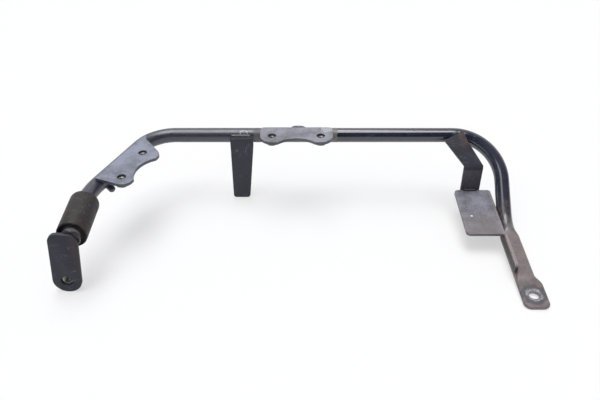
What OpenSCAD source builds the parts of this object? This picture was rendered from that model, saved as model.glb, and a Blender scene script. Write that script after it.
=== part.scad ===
// Radiator bracket of a motorcycle: a bent tube with plates, weld nuts, a crushed end and a bushed link.
// Millimetres. X runs along the bar, +Y points to its back and +Z is the normal of the mounting plates.
// The origin lies midway between the two mounting holes, on the underside of the centre plate, where its
// weld nuts seat.

/* [Tube] */
// Outside diameter of the tube
tube_od = 14; // [12:0.5:16]
// Wall of the tube
tube_wall = 1.6; // [1:0.1:2.5]
// Thinning of the wall in a bend, on the outside and on the inside
bend_thinning = 0.12; // [0.12:0.02:0.3]
// Straight length of the bar left of the mounting centre
bar_left = 117; // [105:1:140]
// Straight length of the bar right of the mounting centre
bar_right = 152; // [145:1:175]
// Centreline radius of the left bend
left_radius = 35; // [28:1:45]
// Angle of the left bend
left_angle = 67; // [55:1:80]
// Straight length of the left leg
left_leg = 68; // [60:1:85]
// Centreline radius of the bend that turns the left leg forward
left_end_radius = 60; // [40:1:80]
// Centreline radius of the right bend
right_radius = 46; // [38:1:55]
// Tilt of the right bend below the plane of the plates
right_tilt = 40; // [30:1:45]
// Straight length of the falling right leg
right_leg = 32; // [26:1:40]
// Centreline radius of the bend that levels the right leg
level_radius = 30; // [24:1:40]

/* [Crushed end] */
// Width of the half crushed tube
oval_w = 17.6; // [15:0.1:19]
// Height of the half crushed tube
oval_h = 7.7; // [6:0.1:10]
// Length of the half crushed stretch
oval_len = 52; // [45:1:70]
// Length of each change of section
change_len = 10; // [6:1:14]
// Width of the flat end
flat_w = 22.2; // [20:0.1:26]
// Thickness of the flat end
flat_t = 3.4; // [3:0.1:5]
// Length of the flat end
flat_len = 27.5; // [24:0.5:36]
// Shift of the flat end away from the shelf
flat_shift = 2.1; // [0:0.1:3]
// Diameter of the bolt hole in the flat end
end_hole_d = 9; // [6:0.1:10]
// Distance from the bolt hole to the tip
end_hole_edge = 14.3; // [12:0.1:16]

/* [Plates] */
// Thickness of the centre plate and the gusset plate
plate_t = 3; // [2:0.1:4]
// Depth to which the plates are let down over the crown of the tube
plate_seat = 0.5; // [0.3:0.1:1]
// Distance between the two mounting holes
mount_spacing = 46.4; // [42:0.1:54]
// Distance of the mounting holes in front of the bar's axis
mount_offset = 16.5; // [15.5:0.1:20]
// Radius of the plate round a hole of the centre plate
ear_r = 11.5; // [10:0.1:13]
// Radius of the scallops between the holes
scallop_r = 26; // [24:1:40]
// Depth of the scallop of the centre plate
centre_scallop = 7; // [3:0.1:8]
// Distance of the plates' welded edges in front of the tube's axis
plate_back = 1; // [0:0.1:2]
// Distance along the left leg to the first gusset hole
gusset_hole_1 = 19.6; // [17:0.1:24]
// Distance along the left leg to the second gusset hole
gusset_hole_2 = 59.6; // [54:0.1:62]
// Distance from the leg's axis to the first gusset hole
gusset_offset_1 = 17; // [16:0.1:20]
// Distance from the leg's axis to the second gusset hole
gusset_offset_2 = 21.5; // [18:0.1:24]
// Reach of the gusset plate from the leg's axis
gusset_reach = 33; // [31:0.5:38]
// Radius of the gusset plate's ears
gusset_ear_r = 9; // [7:0.5:11]
// Depth of the scallop of the gusset plate
gusset_scallop = 7; // [3:0.5:9]
// Length of the gusset plate past the start of the leg
gusset_len = 70; // [67:0.5:74]

/* [Weld nuts] */
// Width across the flats of a weld nut
nut_af = 11; // [9:0.5:12]
// Height of a weld nut
nut_h = 5; // [4:0.5:7]
// Diameter of the pilot that centres a nut in its plate
pilot_d = 8; // [7.5:0.1:9]
// Height of the pilot
pilot_h = 1.2; // [0.8:0.1:1.8]
// Diameter of the threaded bore
thread_d = 5; // [4:0.1:6.8]
// Width across the flats of the link's weld nut
link_nut_af = 14; // [12:0.5:17]
// Height of the link's weld nut
link_nut_h = 6.5; // [5:0.5:8]
// Diameter of the pilot of the link's weld nut
link_pilot_d = 10.4; // [9.5:0.1:11]
// Diameter of the link nut's threaded bore
link_thread_d = 6.8; // [6:0.1:8.5]

/* [Hanging tab and peg] */
// Thickness of the hanging tab
tab_t = 2.5; // [2:0.1:4]
// Width of the tab at the bar
tab_top_w = 22.4; // [20:0.1:28]
// Width of the tab at its lower end
tab_end_w = 16.8; // [12:0.1:20]
// Reach of the tab below the bar's axis
tab_drop = 69; // [55:1:80]
// Reach of the tab above the bar's axis
tab_rise = 3; // [1:0.5:5]
// Place of the tab's straight edge left of the mounting centre
tab_x = 64.4; // [60:0.1:80]
// Corner radius of the tab's lower end
tab_corner = 3; // [1:0.5:6]
// Diameter of the peg at the left leg
peg_d = 6.5; // [5:0.5:8]
// Length of the peg from the leg's axis
peg_len = 14; // [12:0.5:20]
// Slope of the peg below the plane of the plates
peg_slope = 42; // [35:1:50]

/* [Shelf and strap] */
// Thickness of the shelf, its flange and the strap
sheet_t = 2.5; // [2:0.1:3]
// Width of the shelf with its flange
shelf_w = 36.4; // [30:0.1:40]
// Length of the shelf along the leg
shelf_len = 67.4; // [60:0.5:72]
// Level of the shelf's top below the bar's axis
shelf_drop = 44; // [42:0.5:46]
// Distance of the shelf's rear edge in front of the bar's axis
shelf_start = 31; // [29:0.5:34]
// Length of the flange, which runs on past the shelf
flange_len = 110; // [100:1:114]
// Corner radius of the shelf
shelf_corner = 4; // [2:0.5:7]
// Outer radius of the fold between shelf and flange
fold_r = 4; // [3:0.1:6]
// Width of the strap
strap_w = 18.2; // [15:0.1:20]
// Gap from the shelf's free edge to the strap
strap_inset = 6.4; // [2:0.1:10]
// Height of the strap's bend above the shelf's top
strap_rise = 25; // [23:0.5:27]
// Inner radius of the strap's bend
strap_bend_r = 2; // [1:0.5:4]
// Width that the strap's slanted side takes away on its way up
strap_slant = 13; // [8:0.5:16]
// Distance from the strap's tip down to the end of its slanted side
strap_slant_drop = 12; // [10:0.5:16]
// Width of the strap's ear along the bar
strap_flare = 18; // [12:0.5:22]
// Drop of the strap's upper edge along its ear
strap_ear_drop = 10; // [7:0.5:14]

/* [Bush and link] */
// Outside diameter of the bush sleeve
sleeve_od = 25; // [23:0.5:28]
// Wall of the bush sleeve
sleeve_wall = 1.5; // [1.2:0.1:2.5]
// Length of the bush sleeve
sleeve_len = 46; // [40:1:56]
// Radius of the sleeve's shoulder
shoulder_r = 4.5; // [3:0.5:5]
// Distance from the end of the leg's last bend back to the sleeve's end
sleeve_start = 1; // [0.5:0.5:3]
// Depth to which the tube enters the sleeve
tube_entry = 4; // [3:0.5:6]
// Clearance of the tube in the sleeve
sleeve_fit = 0.05; // [0.03:0.01:0.2]
// Outside diameter of the inner pin
pin_od = 14.5; // [12:0.5:16]
// Bore of the inner pin
pin_bore = 8.4; // [6:0.1:9]
// Gap between the tube's end and the pin
pin_gap = 2; // [1:0.5:4]
// Distance that the pin stands out of the sleeve
pin_out = 5; // [3:0.5:8]
// Depth of the rubber's face inside the sleeve
rubber_recess = 1; // [0.5:0.1:3]
// Width of the link plate
link_w = 24; // [20:0.5:28]
// Thickness of the link plate
link_t = 3; // [2.5:0.1:4]
// Distance from the link's hole to its upper end
link_rise = 50; // [47:0.5:60]
// Corner radius of the link's upper end
link_corner = 8; // [4:0.5:11]
// Swing of the link about its own hole
link_swing = 6; // [0:1:12]
// Height of the link's upper end above the pin's axis
link_top = 6.2; // [3:0.1:9]
// Distance of the link's upper end outside the pin's axis
link_shift = 5; // [2:0.1:6]

/* [Weld beads] */
// Radius of the weld beads
bead_r = 2.2; // [1.8:0.1:2.5]

/* [Hidden] */
smooth = 64;
ring_points = 32;
change_steps = 5;
cavity_steps = 3;
over = 1;
lap = 0.2;
tube_r = tube_od / 2;
bar_z = plate_seat - tube_r;
turn_left = 90 - left_angle;
left_x = -(bar_left + left_radius * sin(left_angle) + left_leg * cos(left_angle)
    + left_end_radius * (1 - cos(turn_left)));
left_front = left_radius * (1 - cos(left_angle)) + left_leg * sin(left_angle) + left_end_radius * sin(turn_left);
right_x = bar_right + right_radius;
level_front = right_radius * cos(right_tilt) + right_leg * cos(right_tilt) + level_radius * sin(right_tilt);
level_drop = (right_radius + right_leg) * sin(right_tilt) + level_radius * (1 - cos(right_tilt));
flat_end = 2 * change_len + oval_len + flat_len;
flange_x = right_x - tube_r;
flange_low = level_drop - sqrt(pow(oval_h / 2, 2) - pow(tube_r - (oval_w - oval_h) / 2, 2));
sleeve_r = sleeve_od / 2;
sleeve_back = left_front - sleeve_start;
sleeve_front = sleeve_back + sleeve_len;
sleeve_floor = shoulder_r + tube_entry;
link_face = sleeve_front + pin_out;

// Colours
paint = "#33363d";
plate_paint = "#8d9199";
rusty = "#5b5050";
rubber_black = "#1c1b1d";
bare_steel = "#77787c";
crushed = "#6b615c";
bead_grey = "#50525a";

// Frames along the tube
module bar_frame() translate([0, mount_offset, bar_z]) children();
module past_straight(len) translate([len, 0, 0]) children();
module past_elbow(radius, angle)
    translate([radius * sin(angle), -radius * (1 - cos(angle)), 0]) rotate([0, 0, -angle]) children();
module left_leg_frame()
    bar_frame() mirror([1, 0, 0]) past_straight(bar_left) past_elbow(left_radius, left_angle) children();
module sleeve_frame() bar_frame() translate([left_x, -sleeve_back, 0]) rotate([90, 0, 0]) children();
module level_frame()
    bar_frame() translate([right_x, -level_front, -level_drop]) rotate([0, 0, -90]) children();

// Sections of the tube
module tube_section(solid, thinner = 0) {
    difference() {
        circle(r = tube_r - thinner, $fn = smooth);
        if (!solid) circle(r = tube_r - tube_wall + thinner, $fn = smooth);
    }
}

module stadium(w, h) {
    union() {
        for (side = [-1, 1]) translate([side * (w - h) / 2, 0]) circle(d = h, $fn = smooth);
        square([w - h, h], center = true);
    }
}

// A straight stretch laps over the ends of the bends beside it, whose wall is a little thinner
module straight(len, solid = false) {
    translate([-lap, 0, 0]) rotate([0, 90, 0]) linear_extrude(height = len + 2 * lap) tube_section(solid);
}

module elbow(radius, angle, solid = false) {
    translate([0, -radius, 0]) rotate([0, 0, 90 - angle])
        rotate_extrude(angle = angle, $fn = 4 * smooth)
            translate([radius, 0]) tube_section(solid, bend_thinning);
}

module bar(solid = false) {
    bar_frame() translate([-bar_left, 0, 0]) straight(bar_left + bar_right, solid);
}

module left_run(solid = false) {
    bar_frame() mirror([1, 0, 0]) past_straight(bar_left) {
        elbow(left_radius, left_angle, solid);
        past_elbow(left_radius, left_angle) {
            straight(left_leg, solid);
            past_straight(left_leg) {
                elbow(left_end_radius, turn_left, solid);
                past_elbow(left_end_radius, turn_left) straight(sleeve_floor - sleeve_start - lap, solid);
            }
        }
    }
}

module right_run(solid = false) {
    bar_frame() past_straight(bar_right) rotate([right_tilt, 0, 0]) {
        elbow(right_radius, 90, solid);
        past_elbow(right_radius, 90) {
            straight(right_leg, solid);
            past_straight(right_leg) rotate([-90, 0, 0]) {
                elbow(level_radius, right_tilt, solid);
                past_elbow(level_radius, right_tilt) straight(lap, solid);
            }
        }
    }
}

// Crushed end of the tube, along +X of the level frame: a loft through rings of round-ended section
function eased(from, to, t) = from + (to - from) * t * t * (3 - 2 * t);

function section_ring(x, w, h, shift) = [
    for (i = [0 : ring_points - 1])
        let (angle = (i + 0.5) * 360 / ring_points)
        [x, shift + sign(cos(angle)) * (w - h) / 2 + h / 2 * cos(angle), h / 2 * sin(angle)]
];

// From the round tube to the half crushed section; every ring is smaller than the outside by the wall
function first_change(start_od, wall) = [
    for (k = [0 : change_steps])
        let (t = k / change_steps, start = start_od - 2 * wall)
        section_ring(change_len * t, eased(start, oval_w - 2 * wall, t), eased(start, oval_h - 2 * wall, t), 0)
];

function second_change(wall, steps) = [
    for (k = [0 : steps])
        let (t = k / change_steps, w = eased(oval_w, flat_w, t), h = eased(oval_h, flat_t, t))
        section_ring(
            change_len + oval_len + change_len * t, w - 2 * wall, h - 2 * wall, eased(0, flat_shift, t)
        )
];

module loft(rings) {
    n = len(rings[0]);
    last = (len(rings) - 1) * n;
    polyhedron(
        points = [for (ring = rings) each ring],
        faces = concat(
            [[for (j = [0 : n - 1]) j]],
            [[for (j = [n - 1 : -1 : 0]) last + j]],
            [for (i = [0 : n : last - 1], j = [0 : n - 1]) [i + j, i + n + j, i + n + (j + 1) % n]],
            [for (i = [0 : n : last - 1], j = [0 : n - 1]) [i + j, i + n + (j + 1) % n, i + (j + 1) % n]]
        )
    );
}

module tip_corner() {
    tip_r = flat_w / 4;
    translate([flat_end - tip_r, flat_w / 2 - tip_r, -flat_t]) linear_extrude(height = 2 * flat_t) difference() {
        square(tip_r + over);
        circle(r = tip_r, $fn = smooth);
    }
}

module crushed_end() {
    bore_d = tube_od - 2 * tube_wall + 2 * bend_thinning;
    difference() {
        loft(concat(
            first_change(tube_od - 2 * bend_thinning, 0), second_change(0, change_steps),
            [section_ring(flat_end, flat_w, flat_t, flat_shift)]
        ));
        loft(concat(
            [section_ring(-over, bore_d, bore_d, 0)],
            first_change(bore_d + 2 * tube_wall, tube_wall), second_change(tube_wall, cavity_steps)
        ));
        for (side = [0, 1]) translate([0, flat_shift, 0]) mirror([0, side, 0]) tip_corner();
        translate([flat_end - end_hole_edge, flat_shift, -flat_t])
            cylinder(d = end_hole_d, h = 2 * flat_t, $fn = smooth);
    }
}

module main_tube() {
    color(paint) {
        bar();
        left_run();
        right_run();
    }
    color(crushed) level_frame() crushed_end();
}

// Flat plates on the crown of the tube
module centre_outline() {
    half = mount_spacing / 2;
    front = mount_offset + ear_r;
    back_corner = 4;
    difference() {
        union() {
            for (side = [-1, 1]) {
                translate([side * half, -mount_offset]) circle(r = ear_r, $fn = smooth);
                translate([side * (half + ear_r - back_corner), -plate_back - back_corner])
                    circle(r = back_corner, $fn = smooth);
            }
            translate([-half, -front]) square([2 * half, front - plate_back]);
            translate([-half - ear_r, -mount_offset])
                square([2 * (half + ear_r), mount_offset - plate_back - back_corner]);
            translate([-half - ear_r + back_corner, -mount_offset])
                square([2 * (half + ear_r - back_corner), mount_offset - plate_back]);
        }
        translate([0, -front + centre_scallop - scallop_r]) circle(r = scallop_r, $fn = 2 * smooth);
        for (side = [-1, 1]) translate([side * half, -mount_offset]) circle(d = pilot_d, $fn = smooth);
    }
}

module centre_plate() {
    color(plate_paint) difference() {
        translate([0, mount_offset, 0]) linear_extrude(height = plate_t) centre_outline();
        bar(solid = true);
    }
}

module gusset_outline() {
    ear_out = gusset_reach - gusset_ear_r;
    ear_1 = gusset_hole_1;
    ear_2 = gusset_len - gusset_ear_r;
    scallop_x = (ear_1 + ear_2) / 2;
    toe = -12;
    heel = [-2, 7];
    shoulder = 35;
    difference() {
        union() {
            polygon([
                [toe, plate_back], [gusset_len, plate_back], [gusset_len, ear_out], [ear_2, gusset_reach],
                [ear_1, gusset_reach],
                [ear_1 - gusset_ear_r * cos(shoulder), ear_out + gusset_ear_r * sin(shoulder)], heel
            ]);
            translate([ear_1, ear_out]) circle(r = gusset_ear_r, $fn = smooth);
            translate([ear_2, ear_out]) circle(r = gusset_ear_r, $fn = smooth);
        }
        translate([scallop_x, gusset_reach - gusset_scallop + scallop_r]) circle(r = scallop_r, $fn = 2 * smooth);
        translate([gusset_hole_1, gusset_offset_1]) circle(d = pilot_d, $fn = smooth);
        translate([gusset_hole_2, gusset_offset_2]) circle(d = pilot_d, $fn = smooth);
    }
}

module gusset_plate() {
    color(plate_paint) difference() {
        left_leg_frame() mirror([0, 1, 0]) translate([0, 0, -bar_z])
            linear_extrude(height = plate_t) gusset_outline();
        bar(solid = true);
        left_run(solid = true);
    }
}

// Weld nut, with its seat at z = 0 and its pilot above
module weld_nut(af, height, pilot, pilot_height, bore) {
    difference() {
        union() {
            translate([0, 0, -height]) cylinder(d = af / cos(30), h = height, $fn = 6);
            cylinder(d = pilot, h = pilot_height, $fn = smooth);
        }
        translate([0, 0, -height - over]) cylinder(d = bore, h = height + pilot_height + 2 * over, $fn = smooth);
    }
}

module plate_nut() color(paint) weld_nut(nut_af, nut_h, pilot_d, pilot_h, thread_d);

module centre_nut(side) translate([side * mount_spacing / 2, 0, 0]) plate_nut();

module gusset_nut(along, offset) {
    left_leg_frame() translate([along, -offset, -bar_z]) plate_nut();
}

// Small parts on the tube
module locating_peg() {
    color(paint) difference() {
        left_leg_frame() translate([gusset_hole_2, 0, 0]) rotate([90 + peg_slope, 0, 0]) {
            cylinder(d = peg_d, h = peg_len - peg_d / 2, $fn = smooth);
            translate([0, 0, peg_len - peg_d / 2]) sphere(d = peg_d, $fn = smooth);
        }
        left_run(solid = true);
    }
}

module tab_outline() {
    difference() {
        polygon([
            [0, tab_rise], [tab_top_w, tab_rise], [tab_top_w, -tube_r], [tab_end_w, -tab_drop], [0, -tab_drop]
        ]);
        for (side = [0, 1]) translate([side * tab_end_w, -tab_drop]) mirror([side, 0]) difference() {
            translate([-over, -over]) square(tab_corner + over);
            translate([tab_corner, tab_corner]) circle(r = tab_corner, $fn = smooth);
        }
    }
}

module hanging_tab() {
    color(paint) difference() {
        bar_frame() translate([-tab_x, plate_seat - tube_r, 0]) rotate([90, 0, 0])
            linear_extrude(height = tab_t) tab_outline();
        bar(solid = true);
    }
}

// Folded shelf with its flange along the right leg
module shelf_outline() {
    w = shelf_w - fold_r;
    difference() {
        square([w, shelf_len]);
        for (end = [0, 1]) translate([0, end * shelf_len]) mirror([0, end]) difference() {
            translate([-over, -over]) square(shelf_corner + over);
            translate([shelf_corner, shelf_corner]) circle(r = shelf_corner, $fn = smooth);
        }
    }
}

module fold_section() {
    difference() {
        circle(r = fold_r, $fn = smooth);
        circle(r = fold_r - sheet_t, $fn = smooth);
        translate([-2 * fold_r, -fold_r]) square([2 * fold_r, 2 * fold_r]);
        translate([-fold_r, -2 * fold_r]) square([2 * fold_r, 2 * fold_r]);
    }
}

module flange_outline() {
    height = flange_low - shelf_drop;
    nose = height / 2;
    difference() {
        square([flange_len, height]);
        for (side = [0, 1]) translate([flange_len, side * height]) mirror([1, 0]) mirror([0, side]) difference() {
            translate([-over, -over]) square(nose + over);
            translate([nose, nose]) circle(r = nose, $fn = smooth);
        }
        translate([-over, -over]) square([shelf_len + over, fold_r + over]);
    }
}

module shelf_plate() {
    color(plate_paint) bar_frame() translate([flange_x, -shelf_start, -shelf_drop]) {
        translate([-shelf_w, 0, -sheet_t]) mirror([0, 1, 0]) linear_extrude(height = sheet_t) shelf_outline();
        translate([-fold_r, 0, -fold_r]) rotate([90, 0, 0]) linear_extrude(height = shelf_len) fold_section();
        rotate([90, 0, -90]) linear_extrude(height = sheet_t) mirror([0, 1]) flange_outline();
    }
}

// Strap from the bar's upper front down to the rear edge of the shelf
strap_x = flange_x - shelf_w + strap_inset;
strap_low = shelf_drop + sheet_t;
knee_front = shelf_start - sheet_t - strap_bend_r;
knee_drop = shelf_drop - strap_rise;
knee_dist = sqrt(pow(knee_front, 2) + pow(knee_drop, 2));
strap_offset = tube_r - plate_seat - strap_bend_r;
strap_lean = acos(strap_offset / knee_dist) - atan2(knee_drop, knee_front);
strap_tip = sqrt(pow(knee_dist, 2) - pow(strap_offset, 2)) + sheet_t;

module knee_frame() bar_frame() translate([strap_x, -knee_front, -knee_drop]) children();

module strap_knee_section() {
    reach = 3 * (strap_bend_r + sheet_t);
    intersection() {
        difference() {
            circle(r = strap_bend_r + sheet_t, $fn = smooth);
            circle(r = strap_bend_r, $fn = smooth);
        }
        polygon([[0, 0], [reach, 0], [reach * cos(strap_lean), reach * sin(strap_lean)]]);
    }
}

module strap_top_frame()
    knee_frame() rotate([90 - strap_lean, 0, 0]) translate([0, -lap, strap_bend_r]) children();

module strap_top_outline() {
    shoulder = strap_tip - strap_slant_drop;
    ear = strap_tip - strap_ear_drop;
    polygon([[0, 0], [strap_w, 0], [strap_w - strap_slant, shoulder], [0, strap_tip], [-strap_flare, ear]]);
}

module strap() {
    color(paint) difference() {
        union() {
            knee_frame() {
                translate([0, -strap_bend_r - sheet_t, knee_drop - strap_low])
                    cube([strap_w, sheet_t, strap_low - knee_drop]);
                rotate([90, 0, 90]) linear_extrude(height = strap_w) mirror([1, 0]) strap_knee_section();
            }
            strap_top_frame() linear_extrude(height = sheet_t) strap_top_outline();
        }
        bar(solid = true);
        right_run(solid = true);
    }
}

// Rubber bush at the end of the left leg, along +Z of the sleeve frame
module sleeve_section() {
    difference() {
        union() {
            translate([tube_r, 0]) square([sleeve_r - shoulder_r - tube_r, shoulder_r]);
            translate([sleeve_r - shoulder_r, shoulder_r]) circle(r = shoulder_r, $fn = smooth);
            translate([tube_r, shoulder_r]) square([sleeve_r - tube_r, sleeve_len - shoulder_r]);
        }
        translate([0, sleeve_floor]) square([sleeve_r - sleeve_wall, sleeve_len]);
        translate([0, -over]) square([tube_r + sleeve_fit, sleeve_len]);
    }
}

module bush_sleeve() color(rusty) sleeve_frame() rotate_extrude($fn = 2 * smooth) sleeve_section();

module bush_rubber() {
    color(rubber_black) sleeve_frame() translate([0, 0, sleeve_floor]) difference() {
        cylinder(r = sleeve_r - sleeve_wall, h = sleeve_len - sleeve_floor - rubber_recess, $fn = 2 * smooth);
        translate([0, 0, -over]) cylinder(d = pin_od, h = sleeve_len, $fn = smooth);
    }
}

module bush_pin() {
    color(bare_steel) sleeve_frame() translate([0, 0, sleeve_floor + pin_gap]) difference() {
        cylinder(d = pin_od, h = sleeve_len - sleeve_floor - pin_gap + pin_out, $fn = smooth);
        translate([0, 0, -over]) cylinder(d = pin_bore, h = sleeve_len + pin_out, $fn = smooth);
    }
}

// Link plate on the pin's face; its hole is the origin of the link frame
module link_frame() {
    hole_x = left_x - link_shift - link_rise * sin(link_swing);
    hole_z = link_top - link_rise * cos(link_swing);
    bar_frame() translate([hole_x, -link_face, hole_z]) rotate([90, 0, 0]) rotate([0, 0, -link_swing]) children();
}

module link_outline() {
    difference() {
        union() {
            circle(d = link_w, $fn = smooth);
            translate([-link_w / 2, 0]) square([link_w, link_rise - link_corner]);
            translate([-link_w / 2 + link_corner, 0]) square([link_w - 2 * link_corner, link_rise]);
            for (side = [-1, 1]) translate([side * (link_w / 2 - link_corner), link_rise - link_corner])
                circle(r = link_corner, $fn = smooth);
        }
        circle(d = link_pilot_d, $fn = smooth);
    }
}

module link_plate() color(paint) link_frame() linear_extrude(height = link_t) link_outline();

module link_nut() {
    color(bare_steel) link_frame() weld_nut(link_nut_af, link_nut_h, link_pilot_d, pilot_h, link_thread_d);
}

// Weld beads, each filling the corner between the pieces that it joins and ending short of their edges
bead_lift = 0.4;

module crown_bead(len) {
    rotate([90, 0, 90]) linear_extrude(height = len) difference() {
        translate([-plate_back, bead_lift - bar_z]) circle(r = bead_r, $fn = smooth);
        circle(r = tube_r, $fn = smooth);
        translate([-plate_back - 2 * tube_r, 0]) square([2 * tube_r, 2 * tube_r]);
    }
}

module weld_centre() {
    len = 14;
    shift = 2;
    color(bead_grey) bar_frame() translate([shift - len / 2, 0, 0]) crown_bead(len);
}

module weld_gusset() {
    color(bead_grey) left_leg_frame() translate([gusset_hole_1, 0, 0])
        crown_bead(gusset_hole_2 - gusset_hole_1);
}

module weld_tab() {
    front = tube_r - plate_seat;
    margin = 3;
    color(bead_grey) bar_frame() translate([margin - tab_x, 0, 0]) rotate([90, 0, 90])
        linear_extrude(height = tab_top_w - 2 * margin) difference() {
            translate([-front - bead_lift, tab_rise]) circle(r = bead_r, $fn = smooth);
            circle(r = tube_r, $fn = smooth);
            translate([-front - tab_t - bead_r, -tube_od]) square([tab_t + bead_r, tube_od + tab_rise]);
        }
}

// The bead runs down the slanted edge of the strap's ear
module weld_strap_bar() {
    slope = atan2(strap_ear_drop, strap_flare);
    len = 10;
    color(bead_grey) difference() {
        strap_top_frame() translate([0, strap_tip, 0]) rotate([0, 0, 180 + slope]) translate([bead_r, 0, 0])
            rotate([0, 90, 0]) cylinder(r = bead_r, h = len, $fn = smooth);
        strap_top_frame() translate([0, 0, -2 * bead_r]) linear_extrude(height = sheet_t + 2 * bead_r)
            strap_top_outline();
        bar(solid = true);
        right_run(solid = true);
    }
}

module weld_strap_shelf() {
    margin = 2;
    color(bead_grey) bar_frame() translate([strap_x + margin, -shelf_start, -shelf_drop]) rotate([90, 0, 90])
        linear_extrude(height = strap_w - 2 * margin) intersection() {
            circle(r = bead_r, $fn = smooth);
            translate([-2 * bead_r, 0]) square(2 * bead_r);
        }
}

module weld_flange() {
    len = 30;
    start = change_len + 6;
    color(bead_grey) level_frame() translate([start, 0, 0]) rotate([90, 0, 90])
        linear_extrude(height = len) difference() {
            translate([-tube_r, level_drop - flange_low]) circle(r = bead_r, $fn = smooth);
            stadium(oval_w, oval_h);
            translate([-tube_r - 2 * bead_r, -2 * bead_r]) square([2 * bead_r, 8 * bead_r]);
        }
}

module weld_sleeve() {
    color(bead_grey) difference() {
        sleeve_frame() rotate_extrude($fn = 2 * smooth) intersection() {
            translate([tube_r, 0]) circle(r = bead_r, $fn = smooth);
            translate([tube_r - over, -2 * bead_r]) square([2 * bead_r + over, 2 * bead_r]);
        }
        left_run(solid = true);
    }
}

module weld_link() {
    color(bead_grey) difference() {
        bar_frame() translate([left_x, -link_face, 0]) rotate([-90, 0, 0]) rotate_extrude($fn = 2 * smooth)
            intersection() {
                translate([pin_od / 2, 0]) circle(r = bead_r, $fn = smooth);
                translate([pin_od / 2, 0]) square(2 * bead_r);
            }
        link_frame() translate([link_w / 2 - bead_r, 0, -3 * bead_r]) cube([link_w, 2 * link_rise, 4 * bead_r]);
        link_frame() translate([-link_w, link_rise - bead_r, -3 * bead_r])
            cube([2 * link_w, link_rise, 4 * bead_r]);
    }
}

main_tube();
centre_plate();
centre_nut(-1);  // centre_nut_1
centre_nut(1);  // centre_nut_2
gusset_plate();
gusset_nut(gusset_hole_1, gusset_offset_1);  // gusset_nut_1
gusset_nut(gusset_hole_2, gusset_offset_2);  // gusset_nut_2
locating_peg();
hanging_tab();
strap();
shelf_plate();
bush_sleeve();
bush_rubber();
bush_pin();
link_plate();
link_nut();
weld_centre();
weld_gusset();
weld_tab();
weld_strap_bar();
weld_strap_shelf();
weld_flange();
weld_sleeve();
weld_link();
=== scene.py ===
import logging
import math
from dataclasses import dataclass
from enum import Enum
from typing import Callable, Sequence

import bmesh
import bpy
from mathutils import Matrix, Vector, noise


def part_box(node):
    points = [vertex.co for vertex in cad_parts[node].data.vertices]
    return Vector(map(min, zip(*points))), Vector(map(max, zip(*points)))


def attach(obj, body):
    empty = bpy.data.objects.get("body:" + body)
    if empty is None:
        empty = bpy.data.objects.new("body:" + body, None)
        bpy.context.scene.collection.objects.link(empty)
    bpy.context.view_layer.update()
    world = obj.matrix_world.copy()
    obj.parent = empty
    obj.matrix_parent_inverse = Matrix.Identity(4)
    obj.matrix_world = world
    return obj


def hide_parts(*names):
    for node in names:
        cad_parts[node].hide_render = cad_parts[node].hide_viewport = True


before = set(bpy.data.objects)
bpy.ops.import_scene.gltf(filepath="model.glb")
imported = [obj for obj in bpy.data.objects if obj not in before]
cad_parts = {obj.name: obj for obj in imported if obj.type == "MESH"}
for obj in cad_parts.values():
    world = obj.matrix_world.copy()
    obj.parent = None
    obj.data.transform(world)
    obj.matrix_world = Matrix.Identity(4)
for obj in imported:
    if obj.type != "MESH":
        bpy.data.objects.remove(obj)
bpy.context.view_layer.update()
LOG = logging.getLogger("radiator_bracket")
BODY = "root"
MM = 0.001
Colour = tuple[float, float, float]


class Join(Enum):
    """How the last ring of a loft is finished."""

    CAPPED = "capped"
    LOOPED = "looped"


class Mask(Enum):
    """Where a mark lies on a finish."""

    ZONE = "zone"
    SPOT = "spot"


def rgba(colour: Sequence[float]) -> tuple[float, float, float, float]:
    """Adds a full alpha to a colour."""
    return (colour[0], colour[1], colour[2], 1.0)


# Shader boards


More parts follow.
